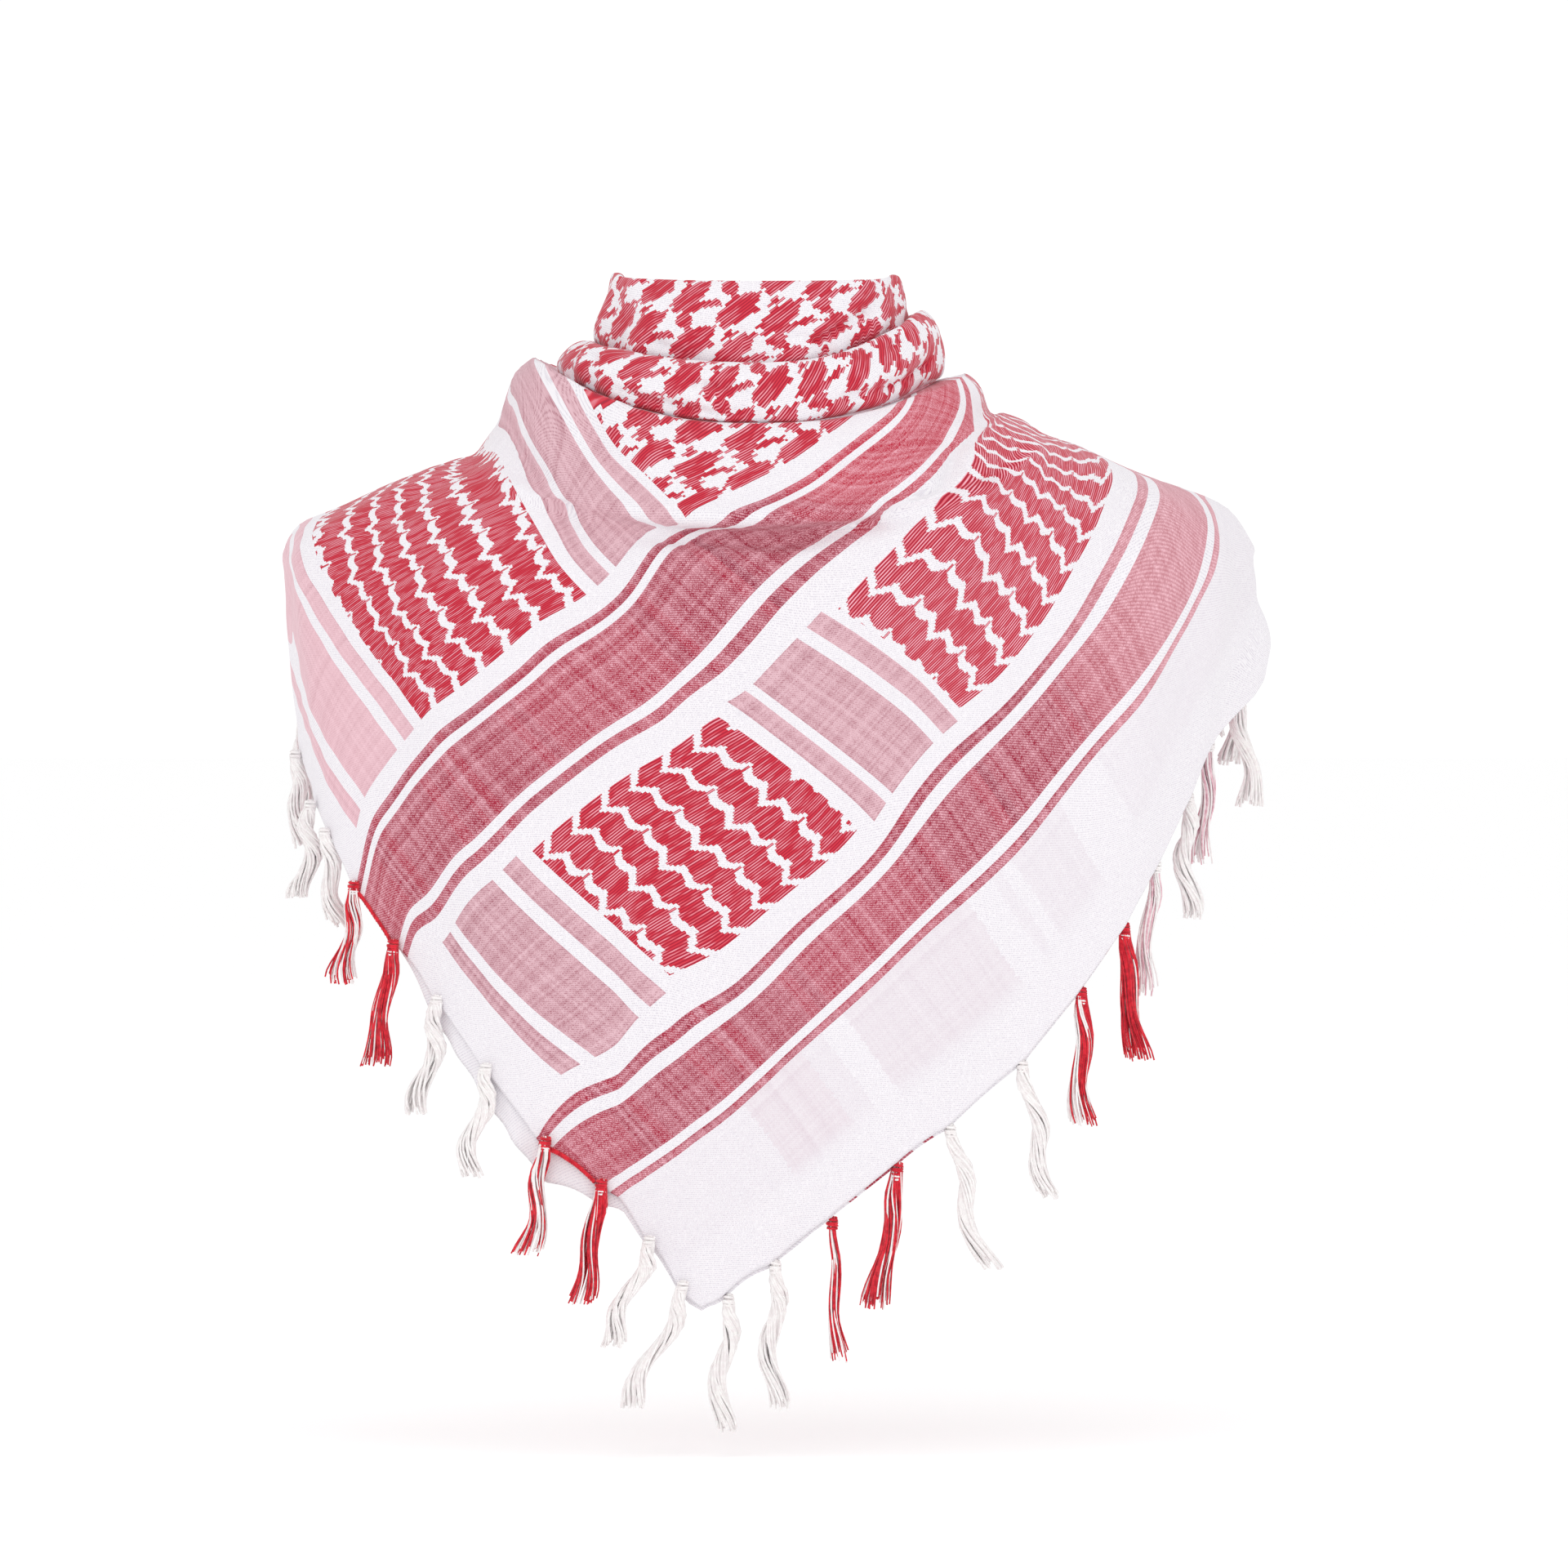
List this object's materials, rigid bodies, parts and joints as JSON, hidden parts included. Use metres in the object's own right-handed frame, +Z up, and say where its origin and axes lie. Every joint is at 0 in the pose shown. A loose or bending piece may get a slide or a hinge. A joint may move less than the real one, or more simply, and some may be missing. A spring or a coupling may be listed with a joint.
{
  "type": "fringed scarf",
  "caption": "Square red and white checked scarf folded corner to corner and worn round a neck, point on the chest, with tasselled hems.",
  "frame": {"origin": "centre of the wearer's neck at its base, where the scarf is held up", "axes": "+Z up along the neck, -Y towards the wearer's front, +X to the wearer's left"},
  "size_m": [0.4974, 0.244, 0.5793],
  "materials": {
    "cloth_drape": "woven cotton",
    "cloth_tails": "woven cotton",
    "cloth_roll_top": "woven cotton",
    "cloth_roll_middle": "woven cotton",
    "cloth_under_layer": "woven cotton",
    "thread_red": "twisted cotton yarn",
    "thread_white": "twisted cotton yarn"
  },
  "bodies": {
    "root": {"front_drape": "cloth_drape", "left_tail": "cloth_tails", "neck_roll_middle": "cloth_roll_middle", "neck_roll_top": "cloth_roll_top", "right_tail": "cloth_tails", "under_layer_hem": "cloth_under_layer", "tassel_left_01": "thread_white", "tassel_left_02": "thread_white", "tassel_left_03": "thread_red", "tassel_left_04": "thread_red", "tassel_left_05": "thread_white", "tassel_left_06": "thread_white", "tassel_left_07": "thread_red", "tassel_left_08": "thread_red", "tassel_left_09": "thread_white", "tassel_left_10": "thread_white", "tassel_left_11": "thread_white", "tassel_left_12": "thread_white", "tassel_left_13": "thread_white", "tassel_left_14": "thread_white", "tassel_left_15": "thread_white", "tassel_left_16": "thread_white", "tassel_left_17": "thread_white", "tassel_left_18": "thread_white", "tassel_right_01": "thread_white", "tassel_right_02": "thread_white", "tassel_right_03": "thread_white", "tassel_right_04": "thread_red", "tassel_right_05": "thread_white", "tassel_right_06": "thread_white", "tassel_right_07": "thread_red", "tassel_right_08": "thread_red", "tassel_right_09": "thread_white", "tassel_right_10": "thread_white", "tassel_right_11": "thread_white", "tassel_right_12": "thread_white", "tassel_right_13": "thread_white", "tassel_right_14": "thread_white", "tassel_right_15": "thread_white", "tassel_right_16": "thread_white", "tassel_right_17": "thread_white", "tassel_right_18": "thread_white", "tassel_right_19": "thread_white", "tassel_right_20": "thread_white"}
  },
  "joints": []
}
